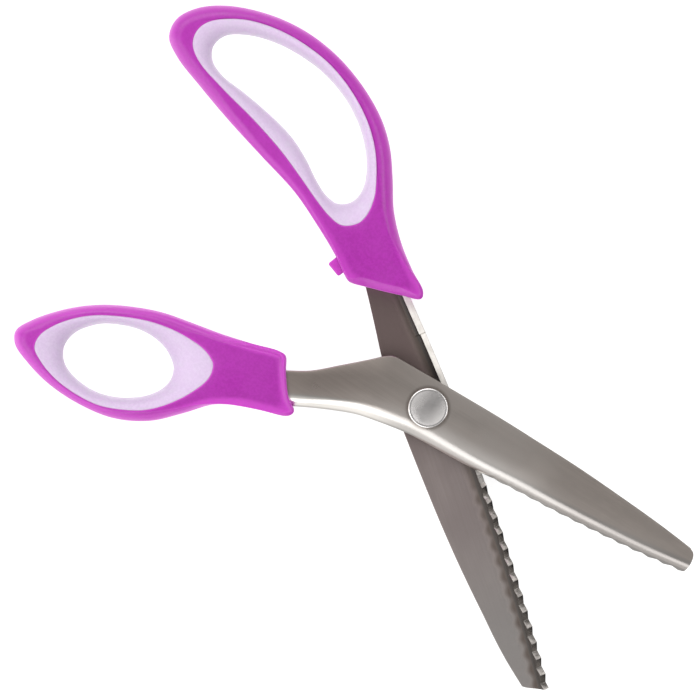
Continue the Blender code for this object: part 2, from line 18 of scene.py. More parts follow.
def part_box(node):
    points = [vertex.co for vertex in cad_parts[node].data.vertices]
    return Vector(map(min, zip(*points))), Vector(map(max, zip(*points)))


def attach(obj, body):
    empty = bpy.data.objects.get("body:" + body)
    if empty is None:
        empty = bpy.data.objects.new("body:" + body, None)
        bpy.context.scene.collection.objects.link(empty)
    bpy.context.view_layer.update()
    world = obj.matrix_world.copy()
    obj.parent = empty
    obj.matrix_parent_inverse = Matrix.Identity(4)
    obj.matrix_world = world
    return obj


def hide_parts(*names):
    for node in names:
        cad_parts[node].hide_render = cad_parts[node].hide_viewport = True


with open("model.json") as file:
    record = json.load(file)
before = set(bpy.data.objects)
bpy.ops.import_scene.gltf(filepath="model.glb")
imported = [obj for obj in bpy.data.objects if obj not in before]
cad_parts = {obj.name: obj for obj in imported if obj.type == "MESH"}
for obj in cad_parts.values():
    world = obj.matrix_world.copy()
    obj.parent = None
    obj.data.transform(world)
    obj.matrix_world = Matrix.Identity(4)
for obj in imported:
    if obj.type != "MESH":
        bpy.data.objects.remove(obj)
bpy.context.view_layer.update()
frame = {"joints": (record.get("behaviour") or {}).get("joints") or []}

MM = 0.001

# Sizes that the frame gives
PIVOT = Vector(frame["joints"][0]["pos_m"])
GRIP_HALF = (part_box("thumb_grip")[1].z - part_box("thumb_grip")[0].z) / 2 / MM
BLADE_DEPTH = (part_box("front_blade")[1].z - PIVOT.z) / MM
HEAD_RADIUS = (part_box("pivot_screw")[1].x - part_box("pivot_screw")[0].x) / 2 / MM

# The steel, as the CAD has it, in millimetres and degrees
OPEN_ANGLE = 39.2
TOOTH_PITCH = 5.0
TOOTH_HEIGHT = 1.2
TOOTH_FLAT = 0.1  # half the width of the flat on a ridge and in a valley
FIRST_TOOTH = 28.75
LAND_GAP = 0.15
SHEET = 1.8
SPINE_CHAMFER = 0.35
EDGE = 0.1  # the small chamfer on the steel's other edges
RIM_STEP_X = -22.4
STEP_HALF = 0.15  # half the length over which the rim steps up
RIM_STEP = 0.35
RIM_EXTRA = 0.35  # how much thicker the unground rim is than the ground one
WEB_HOLE = 3.65
CROWN_WIDTH = 6.5  # how far the outer face falls gently towards the bend
CROWN_DROP = 0.22

# The bend's place along the steel, its outside radius and the lean of the wall below it
FRONT_BENDS = [(-32, 2.8, 5), (-12, 5.2, 6), (24, 4.2, 6.5), (44, 3.7, 8.5), (90, 2.8, 13)]
BACK_BENDS = [(-32, 2.8, 5), (0, 3.4, 6), (24, 4.2, 7.5), (44, 3.8, 10), (90, 3, 14.5)]

# How finely the blade's section is drawn, and its columns of faces
RIM_POINTS = 8
INSIDE_STEPS = 7
OUTSIDE_STEPS = 14
CROWN_STEPS = 6
LAND_COLUMN = RIM_POINTS + INSIDE_STEPS + 2  # the column that lies along the land
UNDER_COLUMN = 4  # the first of those that lie on the steel's inner side

# Outlines: the shank's pairs of points on the cutting side and on the spine, then the blade's two sides and
# the tip, whose last two points only close the piece that is cut away
FRONT_SHANK = [
    ((-56, -30.6), (-59.6, -22)),
    ((-46.5, -26.6), (-50.6, -17.4)),
    ((-37.6, -22.4), (-43.2, -13)),
    ((-30.5, -18.8), (-37, -9.2)),
    ((-24, -15.8), (-30, -2.9)),
    ((-17.6, -13.3), (-23.4, 3.2)),
    ((-13.4, -12.3), (-19.1, 7.3)),
    ((-11, -11.8), (-17.2, 8.2)),
    ((-7, -11), (-13.6, 8.4)),
    ((-1.5, -10.1), (-4.5, 8.65)),
    ((5, -9.6), (5, 8.9)),
]
FRONT_EDGE = [(5, -9.6), (20, -8.85), (35, -7.5), (50, -6.5), (65, -5.2), (80, -3.6), (98, -1)]
FRONT_SPINE = [(5, 8.9), (20, 9.15), (35, 9.05), (50, 8.8), (65, 8.05), (80, 7.05), (98, 5.2)]
FRONT_TIP = [
    (90.8, 6.8),
    (92, 5.75),
    (93.1, 5.15),
    (93.8, 4.3),
    (94.2, 3.1),
    (94.4, 1.2),
    (94.25, -0.4),
    (93.9, -1.9),
    (93.2, -4),
    (99, -4),
    (99, 6.8),
]

BACK_SHANK = [
    ((-57.5, -3.6), (-57.5, 5.2)),
    ((-48, -4.8), (-48, 5.5)),
    ((-40, -5.6), (-40, 6.1)),
    ((-30, -6.4), (-29.5, 7.2)),
    ((-20, -7.2), (-19, 8.4)),
    ((-10, -7.9), (-8.5, 9.1)),
    ((0, -8.5), (1, 9.45)),
    ((5, -8.75), (5, 9.5)),
]
BACK_EDGE = [(5, -8.75), (20, -9.15), (35, -9.25), (50, -9.15), (65, -8.7), (80, -7.95), (98, -6.7)]
BACK_SPINE = [(5, 9.5), (20, 8.85), (35, 8), (50, 6.75), (65, 5), (80, 3.05), (98, -0.9)]
BACK_TIP = [
    (89.6, 2.4),
    (90.7, 1.1),
    (91.4, 0.5),
    (92.1, -0.5),
    (93.2, -2.8),
    (94.4, -5.6),
    (94.25, -6.7),
    (93.6, -9),
    (99, -9),
    (99, 2.4),
]

# The grips' spokes, as the CAD has them, from the outline to the liner's edge and the hole's edge. Each then
# has the width and the power of its edge's rounding, and the share of the crease that sets the raised face
# back from the edge.
THUMB_SPOKES = [
    ((-103.3, -26.2), (-102.2, -29.4), (-99.4, -30.7), 4.6, 2.25, 0),
    ((-94.6, -21.5), (-95, -25.5), (-94.2, -28), 4.6, 2.25, 0.2),
    ((-85.5, -18), (-87.2, -22.4), (-88.8, -26.3), 4.6, 2.25, 0.6),
    ((-75.9, -15.9), (-79.6, -20.8), (-83.8, -26), 4, 2.25, 1),
    ((-66.3, -14), (-73, -20.5), (-79.5, -26.8), 3, 2.25, 1),
    ((-56.8, -11.6), (-68.2, -21), (-76.3, -28.4), 2.4, 2.25, 1),
    ((-48.6, -9.2), (-65, -22.3), (-74.1, -30.2), 2.3, 2.2, 1),
    ((-46, -9.4), (-63.7, -23.3), (-73.3, -31.4), 2.1, 2.1, 0.8),
    ((-43.5, -13.2), (-62.8, -25.2), (-72.7, -33), 2, 2, 0.3),
    ((-38.6, -19.6), (-62.5, -27.4), (-72.5, -34.8), 2, 2, 0),
    ((-34.7, -22.8), (-62.9, -29.8), (-72.8, -36.8), 1.8, 2, 0),
    ((-35.5, -24.8), (-63.6, -31.8), (-73.4, -38.6), 1.8, 2, 0),
    ((-43.5, -27.7), (-65.1, -35), (-74.8, -40.8), 2.2, 2.1, 0),
    ((-51, -30.4), (-67.2, -38.6), (-76.8, -43.1), 2.4, 2.1, 0),
    ((-57.2, -34.1), (-70.1, -42.5), (-79.4, -45.2), 3.2, 2.2, 0),
    ((-63.6, -41.2), (-74, -46.4), (-82.8, -47.3), 4, 2.25, 0),
    ((-71.2, -48.7), (-79.8, -49.9), (-87, -49), 4.6, 2.25, 0),
    ((-81.2, -53.9), (-87, -52.7), (-91.8, -49.9), 4.6, 2.25, 0),
    ((-92.5, -55.8), (-94.6, -53.5), (-96.4, -49.7), 4.6, 2.25, 0),
    ((-104, -55.4), (-102.8, -52.8), (-100.8, -48.6), 4.6, 2.25, 0),
    ((-113, -53.2), (-109.6, -50.5), (-104, -46.5), 4.6, 2.25, 0),
    ((-119.3, -50.4), (-113.3, -47.9), (-105.8, -43.4), 4.6, 2.25, 0),
    ((-121.3, -46.7), (-113.9, -44), (-106, -40.4), 4.6, 2.25, 0),
    ((-118.6, -41.1), (-111.7, -39), (-105, -37), 4.6, 2.25, 0),
    ((-111.2, -32.5), (-107.4, -33.7), (-102.7, -33.8), 4.6, 2.25, 0),
]
FINGER_SPOKES = [
    ((-140.5, 27), (-134.9, 24.8), (-129.5, 21.6), 4.8, 2.25, 0),
    ((-138, 17.6), (-132.2, 14.9), (-127.5, 15), 4.8, 2.25, 0),
    ((-131.3, 6.5), (-126.4, 6.4), (-122.6, 7.8), 4.8, 2.25, 0),
    ((-123, -2.2), (-118.6, -0.8), (-116.2, 1.7), 4.8, 2.25, 0),
    ((-112.9, -8.9), (-109.6, -6.4), (-108.5, -3.5), 4.8, 2.25, 0),
    ((-101.5, -13.4), (-99.4, -9.9), (-99, -7.2), 4.8, 2.25, 0),
    ((-89.7, -15.7), (-89, -11.3), (-89.5, -8.5), 4.8, 2.25, 0),
    ((-80, -15.3), (-80.5, -10.6), (-81.5, -7.8), 4.8, 2.25, 0),
    ((-70.5, -12.9), (-73, -8.4), (-75.5, -6), 4.6, 2.25, 0),
    ((-61.4, -10.1), (-67.2, -5.8), (-71.8, -4), 4.2, 2.2, 0),
    ((-51.9, -9), (-63.9, -3.2), (-69.7, -2), 3.6, 2.2, 0),
    ((-42, -9.4), (-62, -0.9), (-68.6, -0.3), 2.8, 2.1, 0),
    ((-34.5, -10.4), (-61.3, 0.5), (-68.2, 0.9), 1.8, 2, 0),
    ((-32.6, -9.1), (-61, 1.7), (-68, 2), 1.7, 2, 0),
    ((-35.8, -3.4), (-61, 3.3), (-68.1, 3.3), 2.3, 1.35, 0),
    ((-41.7, 5.8), (-61.4, 5.3), (-68.6, 4.9), 2.5, 1.3, 0),
    ((-44.4, 9.7), (-62.2, 6.9), (-69.4, 6.2), 1.2, 1.5, 0),
    ((-45.6, 10.55), (-63.4, 8), (-70.5, 7.1), 0.8, 1.6, 0),
    ((-54.5, 11.7), (-66.6, 9.7), (-73.3, 8.5), 1.2, 1.9, 0),
    ((-65.3, 14), (-72.4, 11.7), (-78.2, 9.6), 1.4, 2, 0),
    ((-77, 17.2), (-80.2, 13.9), (-85.5, 10.5), 1.6, 2, 0),
    ((-90, 22.9), (-90.4, 17.1), (-93.4, 12.5), 2.2, 2.1, 0),
    ((-103.5, 28.8), (-102.2, 22), (-101.9, 16.5), 3, 2.2, 0),
    ((-117, 34), (-114, 27.7), (-110.8, 21.7), 3.8, 2.2, 0),
    ((-128.5, 37.9), (-124.3, 31.8), (-118.3, 26.5), 4.6, 2.25, 0),
    ((-135, 38.2), (-130, 31.9), (-123.4, 27.8), 4.8, 2.25, 0),
    ((-139.4, 34.2), (-133.5, 29.3), (-127.6, 26.2), 4.8, 2.25, 0),
]
GRIP_SPAN_STEPS = 8
POCKET_FIT = 0.15
POCKET_MOUTH_X = -28.0  # in the open, past the grip's end
LINER_GAP = 0.03
GRIP_LIP = 0.12  # the small rounding where the grip meets the liner
LINER_LIP = 0.14
LINER_SET_BACK = 0.08  # how far the liner's face lies below the grip's
BEVEL_BELOW = 3.4  # an edge's rounding narrower than this turns into a bevel
SHOULDER = 1.5  # height of a bevel's rounded shoulder
SHOULDER_CUT = 0.16  # the share of the shoulder's curve that its crisp inner edge cuts off
CREASE_PLACE = 1.35  # from the outline
CREASE_SPREAD = 0.5
CREASE_DEPTH = 0.55

# The closing stop, placed as in the CAD
STOP_FACE = ((-52.3, 14.6), (-47.6, 12.9))
STOP_ROOT = ((-54.2, 9.4), (-49.2, 7.9))
STOP_HALF_HEIGHT = 2.6
STOP_SHIFT = -2.6
STOP_ROUND = 0.55

# The pivot, as the CAD has it but for its dome and edges
SCREW_RADIUS = 2.5
BUSH_BORE = 2.65
STACK_GAP = 0.1
HEAD_WASHER = 0.4
HEAD_HEIGHT = 1.9
HEAD_DOME = 0.45
HEAD_RIM = 0.42  # radius of the head's rounded rim
HEAD_STEP = 0.5  # distance from the head's edge to where the dome starts
DOME_SINK = 0.02  # how far the dome's crown stays below the CAD's
WAVE_RADIUS = 4.9
WAVE_WASHER = 0.3
WAVE_LIFT = 0.1
NUT_FLATS = 10.0
NUT_SET_BACK = 0.2
WASHER_EDGE = 0.08
ROUND_STEPS = 128

# The studio, in metres and degrees
VIEW_ANGLE = 51.3  # the camera's turn about Z
VIEW_CENTRE = Vector((-29.1, -7.6)) * MM
VIEW_WIDTH = 217.0 * MM
CAMERA_HEIGHT = 1.6
SENSOR = 36.0  # the camera's, in millimetres
SOFTBOX_DISTANCE = 0.9
TABLE_HALF = 3.0
TABLE_HEIGHT = -0.0002  # just below the shears, so that the two never share a plane


# Shapes


def curve_points(controls, steps, closed=False):
    """Points along a centripetal Catmull-Rom curve through the controls, with `steps` to each span."""
    points = [Vector(c) for c in controls]
    count = len(points)
    if closed:
        around = [points[-1], *points, points[0], points[1]]
        spans = count
    else:
        around = [2 * points[0] - points[1], *points, 2 * points[-1] - points[-2]]
        spans = count - 1
    found = []
    for i in range(spans):
        p0, p1, p2, p3 = around[i : i + 4]
        t0 = 0.0
        t1 = t0 + math.sqrt((p1 - p0).length)
        t2 = t1 + math.sqrt((p2 - p1).length)
        t3 = t2 + math.sqrt((p3 - p2).length)
        for step in range(steps):
            t = t1 + (t2 - t1) * step / steps
            a1 = p0.lerp(p1, (t - t0) / (t1 - t0))
            a2 = p1.lerp(p2, (t - t1) / (t2 - t1))
            a3 = p2.lerp(p3, (t - t2) / (t3 - t2))
            b1 = a1.lerp(a2, (t - t0) / (t2 - t0))
            b2 = a2.lerp(a3, (t - t1) / (t3 - t1))
            found.append(b1.lerp(b2, (t - t1) / (t2 - t1)))
    if not closed:
        found.append(points[-1].copy())
    return found


def half_matrix(turn, over):
    """Where one half's drawing lies: turned about the pivot, and turned over for the back."""
    flip = Matrix.Rotation(math.pi if over else 0.0, 4, "X")
    return Matrix.Translation(PIVOT) @ Matrix.Rotation(math.radians(turn), 4, "Z") @ flip


def skin(rings, closed):
    """A closed surface over rings of equal count. Each face keeps its place across the ring in `column`."""
    bm = bmesh.new()
    column = bm.faces.layers.int.new("column")
    loops = [[bm.verts.new(p) for p in ring] for ring in rings]
    pairs = list(zip(loops, loops[1:]))
    if closed:
        pairs.append((loops[-1], loops[0]))
    for a, b in pairs:
        for i in range(len(a)):
            j = (i + 1) % len(a)
            face = bm.faces.new((a[i], a[j], b[j], b[i]))
            face[column] = i
    if not closed:
        bm.faces.new(loops[0])[column] = -1
        bm.faces.new(list(reversed(loops[-1])))[column] = -1
    return bm


def turned(profile):
    """A ring or disc: the profile of (radius, z) points turned about Z. A point of radius 0 closes it."""
    bm = bmesh.new()
    angles = [2 * math.pi * k / ROUND_STEPS for k in range(ROUND_STEPS)]
    columns = []
    for radius, z in profile:
        if radius == 0:
            columns.append([bm.verts.new((0, 0, z))])
            continue
        columns.append([bm.verts.new((radius * math.cos(a), radius * math.sin(a), z)) for a in angles])
    pairs = list(zip(columns, columns[1:]))
    if len(columns[0]) > 1:
        pairs.append((columns[-1], columns[0]))
    for a, b in pairs:
        for k in range(ROUND_STEPS):
            corners = [a[k % len(a)], a[(k + 1) % len(a)], b[(k + 1) % len(b)], b[k % len(b)]]
            bm.faces.new(list(dict.fromkeys(corners)))
    return bm


def make_object(name, bm, matrix, sharp=30):
    """An object of this mesh, drawn in millimetres and placed by the matrix."""
    bmesh.ops.recalc_face_normals(bm, faces=bm.faces)
    bmesh.ops.scale(bm, vec=(MM, MM, MM), verts=bm.verts)
    mesh = bpy.data.meshes.new(name)
    bm.to_mesh(mesh)
    bm.free()
    mesh.shade_smooth()
    mesh.set_sharp_from_angle(angle=math.radians(sharp))
    obj = bpy.data.objects.new(name, mesh)
    bpy.context.scene.collection.objects.link(obj)
    obj.matrix_world = matrix
    return obj


def fit_piece(obj, node, body, slot, *materials):
    """Makes the object a finished piece that stands for the CAD node and rides on its body."""
    mesh = obj.data
    drawn = mesh.attributes.new("drawn", "FLOAT_VECTOR", "POINT")
    for vert in mesh.vertices:
        drawn.data[vert.index].vector = vert.co
    mesh.transform(obj.matrix_world)
    obj.matrix_world = Matrix.Identity(4)
    for material in materials:
        mesh.materials.append(material)
    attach(obj, body)
    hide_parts(node)


def cut_with(target, operation, tool, sharp=30):
    """Applies the Boolean to the target's mesh and removes the tool."""
    modifier = target.modifiers.new(operation.lower(), "BOOLEAN")
    modifier.object = tool
    modifier.operation = operation
    modifier.solver = "EXACT"
    bpy.context.view_layer.update()
    evaluated = target.evaluated_get(bpy.context.evaluated_depsgraph_get())
    mesh = bpy.data.meshes.new_from_object(evaluated)
    mesh.set_sharp_from_angle(angle=math.radians(sharp))
    target.modifiers.clear()
    old = target.data
    target.data = mesh
    bpy.data.meshes.remove(old)
    mesh.name = target.name
    bpy.data.objects.remove(tool, do_unlink=True)


def ring_profile(inner, outer, low, high, edge):
    """A washer's section, with its four corners rounded off by `edge`."""
    return [
        (inner + edge, low),
        (outer - edge, low),
        (outer, low + edge),
        (outer, high - edge),
        (outer - edge, high),
        (inner + edge, high),
        (inner, high - edge),
        (inner, low + edge),
    ]


# Blades


def zigzag(radius):
    """Height of the surface between the blades at this distance from the pivot.

    It is the same all round the pivot, so that the teeth stay in mesh.
    """
    if radius < FIRST_TOOTH:
        return 0.0
    phase = radius / TOOTH_PITCH % 1.0
    height = TOOTH_HEIGHT * (4 * abs(phase - 0.5) - 1)
    limit = TOOTH_HEIGHT * (1 - TOOTH_FLAT * 4 / TOOTH_PITCH)
    return max(-limit, min(limit, height))


def bend_at(bends, x):
    """The bend's outside radius and the wall's lean, as an angle, at this distance along the steel."""
    places, radii, leans = zip(*bends)
    return float(np.interp(x, places, radii)), math.radians(float(np.interp(x, places, leans)))


def bend_side(centre, radius, lean, end, offset, steps):
    """One side of the bend and its wall as (distance from the cutting side, z), down to just above `end`."""
    tangent = math.pi - lean
    stop = end + 3 * EDGE
    if stop > centre[1] + radius * math.sin(tangent):
        tangent = math.pi - math.asin((stop - centre[1]) / radius)
    angles = [math.pi / 2 + (tangent - math.pi / 2) * step / steps for step in range(steps + 1)]
    points = [(centre[0] + radius * math.cos(a), centre[1] + radius * math.sin(a)) for a in angles]
    return points + [(wall_at(centre, radius, lean, end + EDGE, offset), end + EDGE)]


def wall_at(centre, radius, lean, z, offset):
    """Distance from the cutting side to the steel's surface at height z, on the bend or the wall below it."""
    if z < centre[1] + radius * math.sin(lean):
        return offset + z * math.tan(lean)
    return centre[0] - math.sqrt(radius**2 - (z - centre[1]) ** 2)


def blade_section(width, land, bend, lean, extra, shrink):
    """The sheet's section as (distance from the cutting side, z): rim, web, bend, wall and land.

    The wall is thicker than the web by `extra`, and the whole section is thinner all round by `shrink`.
    """
    web_end = 0.5  # past the bend's centre, where the flat underside ends
    centre_z = BLADE_DEPTH - bend
    centre = ((bend + centre_z * math.sin(lean)) / math.cos(lean), centre_z)
    inner_bend, outer_bend = bend - SHEET - extra + shrink, bend - shrink
    top, under = BLADE_DEPTH - shrink, BLADE_DEPTH - SHEET + shrink
    spine, soft, end = width - shrink, 0.12, land + shrink
    rim = [
        (spine - SPINE_CHAMFER - soft, top),
        (spine - SPINE_CHAMFER + soft, top - soft / 2),
        (spine - soft / 2, top - SPINE_CHAMFER + soft),
        (spine, top - SPINE_CHAMFER - soft),
        (spine, under + EDGE),
        (spine - EDGE, under),
        (spine - 3 * EDGE, under),
        (centre[0] + web_end, under),
    ]
    inner_offset = (SHEET + extra - shrink) / math.cos(lean)
    outer_offset = shrink / math.cos(lean)
    inside = bend_side(centre, inner_bend, lean, end, inner_offset, INSIDE_STEPS)
    outside = bend_side(centre, outer_bend, lean, end, outer_offset, OUTSIDE_STEPS)
    crown = min(CROWN_WIDTH, spine - 2 * SPINE_CHAMFER - centre[0])
    drop = CROWN_DROP * (crown / CROWN_WIDTH) ** 2
    outside = [(d, z - drop * max(0.0, z / top) ** 2) for d, z in outside]
    for step in range(CROWN_STEPS):
        share = (step + 1) / CROWN_STEPS
        outside.insert(0, (centre[0] + crown * share, top - drop * (1 - share) ** 2))
    inner_corner = (wall_at(centre, inner_bend, lean, end, inner_offset) - EDGE, end)
    outer_corner = (wall_at(centre, outer_bend, lean, end, outer_offset) + EDGE, end)
    return rim + inside + [inner_corner, outer_corner] + list(reversed(outside))


def reach(origin, direction, outline):
    """Distance from the origin, along the direction, to where the outline is crossed."""
    for a, b in zip(outline, outline[1:]):
        along = b - a
        cross = direction.cross(along)
        if abs(cross) < 1e-9:
            continue
        distance = (a - origin).cross(along) / cross
        share = (a - origin).cross(direction) / cross
        if distance > 0 and -1e-6 <= share <= 1 + 1e-6:
            return distance
    return (outline[-1] - origin).length


def at_radius(outline, radius):
    """The point of the outline at this distance from the pivot."""
    for a, b in zip(outline, outline[1:]):
        if a.length <= radius <= b.length:
            return a.lerp(b, (radius - a.length) / (b.length - a.length))
    return outline[-1].copy()


def toothed_ribs(edge_controls, spine_controls):
    """Ribs from the pivot to the blade's tip, two close together on each ridge and in each valley."""
    plain_start, plain_gap, turn_start, end_margin = 11.0, 1.8, 9.0, 0.5
    edge = curve_points(edge_controls, 24)
    spine = curve_points(spine_controls, 24)
    last = edge[-1].length - end_margin
    radii = [plain_start + plain_gap * k for k in range(10)] + [FIRST_TOOTH]
    half_pitch = TOOTH_PITCH / 2
    k = math.ceil(FIRST_TOOTH / half_pitch)
    while k * half_pitch < last - TOOTH_FLAT:
        radii.extend([k * half_pitch - TOOTH_FLAT, k * half_pitch + TOOTH_FLAT, (k + 0.5) * half_pitch])
        k += 1
    ribs = []
    for radius in [r for r in radii if r < last]:
        start = at_radius(edge, radius)
        square = Vector((-start.y, start.x)).normalized()
        turn = min(1.0, (radius - turn_start) / (FIRST_TOOTH - turn_start))
        direction = Vector((0, 1)).lerp(square, turn).normalized()
        ribs.append((start, start + direction * reach(start, direction, spine)))
    ribs.append((edge[-1], spine[-1]))
    return ribs


def shank_ribs(pairs, steps):
    """Ribs across the shank and tang, with `steps` to each span between the pairs."""
    edge = curve_points([p[0] for p in pairs], steps)
    spine = curve_points([p[1] for p in pairs], steps)
    return list(zip(edge, spine))


def with_rim_step(ribs):
    """Adds the two close ribs between which the shank's rim steps up to its unground height."""
    found = []
    for a, b in zip(ribs, ribs[1:]):
        found.append(a)
        if a[0].x < RIM_STEP_X <= b[0].x:
            for x in (RIM_STEP_X - STEP_HALF, RIM_STEP_X + STEP_HALF):
                share = (x - a[0].x) / (b[0].x - a[0].x)
                if 0 < share < 1:
                    found.append((a[0].lerp(b[0], share), a[1].lerp(b[1], share)))
    found.append(ribs[-1])
    return found


def land_height(start, teeth):
    """Height of the land at this point of the cutting side: the unground rim, the shank, then the teeth."""
    if start.x < RIM_STEP_X:
        return LAND_GAP - RIM_STEP
    if start.x < 0:
        return LAND_GAP
    return LAND_GAP + teeth * zigzag(start.length)


def rib_ring(start, end, land, bends, shrink=0.0):
    """The blade's section set up along one rib. The unground rim's wall is the thicker one."""
    across = (end - start).normalized()
    extra = RIM_EXTRA if start.x < RIM_STEP_X else 0.0
    section = blade_section((end - start).length, land, *bend_at(bends, start.x), extra, shrink)
    return [(*(start + across * w), z) for w, z in section]


def blade_piece(name, matrix, shank, edge, spine, tip, bends, teeth):
    """A formed blade with its shank and tang, drawn too long and trimmed to the outline of its tip.

    `teeth` is +1 or -1, so that the two blades' zigzags mesh.
    """
    ribs = with_rim_step(shank_ribs(shank, 6)) + toothed_ribs(edge, spine)
    bm = skin([rib_ring(a, b, land_height(a, teeth), bends) for a, b in ribs], closed=False)
    column = bm.faces.layers.int["column"]
    for face in bm.faces:
        face.material_index = steel_side(face[column])
    blade = make_object(name, bm, matrix)
    low, high = -TOOTH_HEIGHT - 1, BLADE_DEPTH + 1
    outline = [*curve_points(tip[:-2], 4), *(Vector(p) for p in tip[-2:])]
    waste = skin([[(p.x, p.y, z) for p in outline] for z in (low, high)], closed=False)
    cut_with(blade, "DIFFERENCE", make_object(f"{name}_trim", waste, matrix))
    bore = turned([(0, low), (WEB_HOLE, low), (WEB_HOLE, high), (0, high)])
    cut_with(blade, "DIFFERENCE", make_object(f"{name}_bore", bore, matrix))
    mark_distance(blade.data, "across", [a for a, b in ribs])
    return blade


def steel_side(column):
    """Which of the blade's finishes a column of faces has: 0 outside, 1 inside, 2 the ground land."""
    if column == LAND_COLUMN:
        return 2
    if UNDER_COLUMN <= column < LAND_COLUMN:
        return 1
    return 0


def mark_distance(mesh, name, line):
    """Stores each point's distance from a line of points, in millimetres, for the finish beside that line."""
    line = np.array(line)
    gaps = [float(np.hypot(*(line - vert.co.xy / MM).T).min()) for vert in mesh.vertices]
    mesh.attributes.new(name, "FLOAT", "POINT").data.foreach_set("value", gaps)


# Grips


def smooth_values(values, steps):
    """The values, one for each spoke, carried smoothly over the steps between spokes."""
    found = []
    for a, b in zip(values, values[1:] + values[:1]):
        for step in range(steps):
            share = step / steps
            found.append(a + (b - a) * share * share * (3 - 2 * share))
    return found


def spoke_lines(spokes):
    """The outline, the liner's edge and the hole's edge, each with the same count of points."""
    return [curve_points([s[n] for s in spokes], GRIP_SPAN_STEPS, closed=True) for n in range(3)]


def rounded(width, height, power, crest, bevel=0.0):
    """A superellipse quarter as (distance in, z), from the outline at mid height to the top in `crest` steps.

    Seven more points lie close together near the outline, where it is steep. A bevel of 1 makes it an upright
    wall with a shallow rounded shoulder, whose inner edge is crisp.
    """
    steep = 0.12
    shares = [(k / 6) ** 3 * steep for k in range(7)]
    shares += [steep + (1 - steep) * k / crest for k in range(1, crest + 1)]
    wall = bevel * (height - SHOULDER)
    turn = 1 - SHOULDER_CUT * bevel
    full = (1 - (1 - turn) ** power) ** (1 / power)
    rises = [(1 - (1 - u * turn) ** power) ** (1 / power) / full for u in shares]
    return [(width * u, wall + (height - wall) * rise) for u, rise in zip(shares, rises)]


def crease_depth(distance, crease):
    """How far the crease beside the raised face lowers the surface at this distance from the outline."""
    return crease * CREASE_DEPTH * math.exp(-(((distance - CREASE_PLACE) / CREASE_SPREAD) ** 2))


def place_on(start, towards, distance, z):
    """The point at this distance from the start on the way to the other point, at height z."""
    point = start + (towards - start).normalized() * distance
    return (point.x, point.y, z)


def grip_rings(spokes):
    """Rings of the hard grip, several to a spoke: rounded outside, upright where the liner fits.

    A fine groove runs round the outline at mid height, where the two halves of the mould meet.
    """
    outline, liner_edge, _ = spoke_lines(spokes)
    widths, powers, creases = (smooth_values([s[n] for s in spokes], GRIP_SPAN_STEPS) for n in (3, 4, 5))
    count = len(outline)
    top, lip = GRIP_HALF, GRIP_LIP
    groove_depth, groove_half = 0.07, 0.1
    rings = []
    for i in range(count):
        start, towards = outline[i], liner_edge[i]
        spoke = towards - start
        tangent = (outline[(i + 1) % count] - outline[i - 1]).normalized()
        square = max(0.45, abs(spoke.normalized().cross(tangent)))
        inner = spoke.length - LINER_GAP / 2
        width = min(widths[i] / square, inner - 2.5 * lip)
        bevel = max(0.0, min(1.0, BEVEL_BELOW - widths[i]))
        upper = []
        for d, z in rounded(width, top, powers[i], crest=16, bevel=bevel):
            upper.append((d, z - crease_depth(d * square, creases[i])))
        upper.append((width + lip, top))
        for share in (0.15, 0.5, 0.85):
            upper.append((width + (inner - 2 * lip - width) * share, top))
        upper += [(inner - 1.4 * lip, top), (inner - 0.4 * lip, top - 0.3 * lip), (inner, top - lip)]
        ring = [place_on(start, towards, groove_depth, 0.0), place_on(start, towards, 0.0, groove_half)]
        ring.extend(place_on(start, towards, d, max(z, 2 * groove_half)) for d, z in upper[3:])
        lower = ring[:0:-1]
        ring.extend((x, y, -z) for x, y, z in lower)
        rings.append(ring)
    return rings


def liner_rings(spokes):
    """Rings of the soft liner: upright against the grip, and rolled over into the finger hole."""
    _, liner_edge, hole_edge = spoke_lines(spokes)
    top, lip = GRIP_HALF - LINER_SET_BACK, LINER_LIP
    rings = []
    for edge, hole in zip(liner_edge, hole_edge):
        width = (edge - hole).length - LINER_GAP / 2
        upper = rounded(width - lip, top, 2.1, crest=12)
        upper += [(width - 0.3 * lip, top - 0.3 * lip), (width, top - lip)]
        ring = [place_on(hole, edge, d, z) for d, z in upper]
        ring.extend(place_on(hole, edge, d, -z) for d, z in reversed(upper[1:]))
        rings.append(ring)
    return rings


def pocket_rings(shank, bends):
    """Rings of the slot that the tang lies in: the steel's own section, slightly larger all round."""
    ribs = [rib for rib in shank_ribs(shank, 4) if rib[0].x < POCKET_MOUTH_X]
    start, end = ribs[0]
    along = (start - ribs[1][0]).normalized() * POCKET_FIT
    ribs[0] = (start + along, end + along)
    land = LAND_GAP - RIM_STEP
    return [rib_ring(a, b, land, bends, shrink=-POCKET_FIT) for a, b in ribs]


def grip_piece(name, matrix, spokes, shank, bends):
    """A hard grip with its tang's pocket, and each point's distances from its outline and its liner."""
    grip = make_object(name, skin(grip_rings(spokes), closed=True), matrix, sharp=40)
    pocket = make_object(f"{name}_pocket", skin(pocket_rings(shank, bends), closed=False), matrix)
    cut_with(grip, "DIFFERENCE", pocket, sharp=40)
    outline, liner_edge, _ = spoke_lines(spokes)
    mark_distance(grip.data, "from_edge", outline)
    mark_distance(grip.data, "from_liner", liner_edge)
    return grip


def liner_piece(name, matrix, spokes):
    return make_object(name, skin(liner_rings(spokes), closed=True), matrix, sharp=60)


def stop_piece(matrix):
    """The closing stop: a small block with softly rounded edges."""
    corners = [Vector(p) for p in (*STOP_FACE, STOP_ROOT[1], STOP_ROOT[0])]
    low, high = STOP_SHIFT - STOP_HALF_HEIGHT, STOP_SHIFT + STOP_HALF_HEIGHT
    bm = skin([[(c.x, c.y, z) for c in corners] for z in (low, high)], closed=False)
    bmesh.ops.bevel(bm, geom=list(bm.edges), offset=STOP_ROUND, segments=5, profile=0.5, affect="EDGES")
    return make_object("closing_stop_block", bm, matrix)


# Pivot


